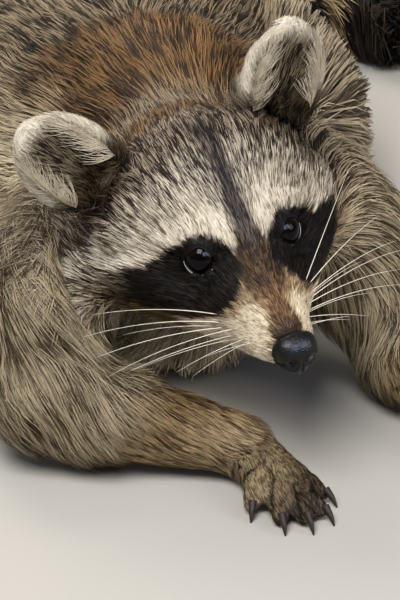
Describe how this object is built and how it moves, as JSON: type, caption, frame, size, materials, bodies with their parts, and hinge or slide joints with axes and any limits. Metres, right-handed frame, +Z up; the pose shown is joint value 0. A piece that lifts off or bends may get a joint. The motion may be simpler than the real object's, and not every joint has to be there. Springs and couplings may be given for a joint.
{
  "type": "raccoon model",
  "caption": "Life-size raccoon lying on its belly, head lowered, turned and tilted over a foreleg crossed under its chin, with a ringed tail curled to one side.",
  "frame": {"origin": "middle of the bounding box's underside, on the floor", "axes": "-Y is the way the animal faces, +X its left side, +Z up"},
  "size_m": [0.345, 0.6386, 0.1922],
  "materials": {
    "coat": "matt fur, grizzled grey-brown with cream tips",
    "ear": "short matt fur with a pale rim",
    "nose_skin": "damp, finely grained bare skin",
    "eye": "wet gloss",
    "paw": "very short dark fur over bare skin",
    "claw": "satin horn"
  },
  "bodies": {
    "root": {"belly": "coat", "chest": "coat", "ear_left": "ear", "ear_right": "ear", "eye_left": "eye", "eye_right": "eye", "foot_left": "paw", "foot_left_claw_1": "claw", "foot_left_claw_2": "claw", "foot_left_claw_3": "claw", "foot_left_claw_4": "claw", "foot_left_claw_5": "claw", "foot_right": "paw", "foot_right_claw_1": "claw", "foot_right_claw_2": "claw", "foot_right_claw_3": "claw", "foot_right_claw_4": "claw", "foot_right_claw_5": "claw", "forearm_left": "coat", "forearm_right": "coat", "hand_left": "paw", "hand_left_claw_1": "claw", "hand_left_claw_2": "claw", "hand_left_claw_3": "claw", "hand_left_claw_4": "claw", "hand_left_claw_5": "claw", "hand_right": "paw", "hand_right_claw_1": "claw", "hand_right_claw_2": "claw", "hand_right_claw_3": "claw", "hand_right_claw_4": "claw", "hand_right_claw_5": "claw", "head": "coat", "lower_jaw": "coat", "neck": "coat", "nose": "nose_skin", "rump": "coat", "shank_left": "coat", "shank_right": "coat", "tail_1": "coat", "tail_2": "coat", "tail_3": "coat", "tail_4": "coat", "thigh_left": "coat", "thigh_right": "coat", "upper_arm_left": "coat", "upper_arm_right": "coat"}
  },
  "joints": []
}
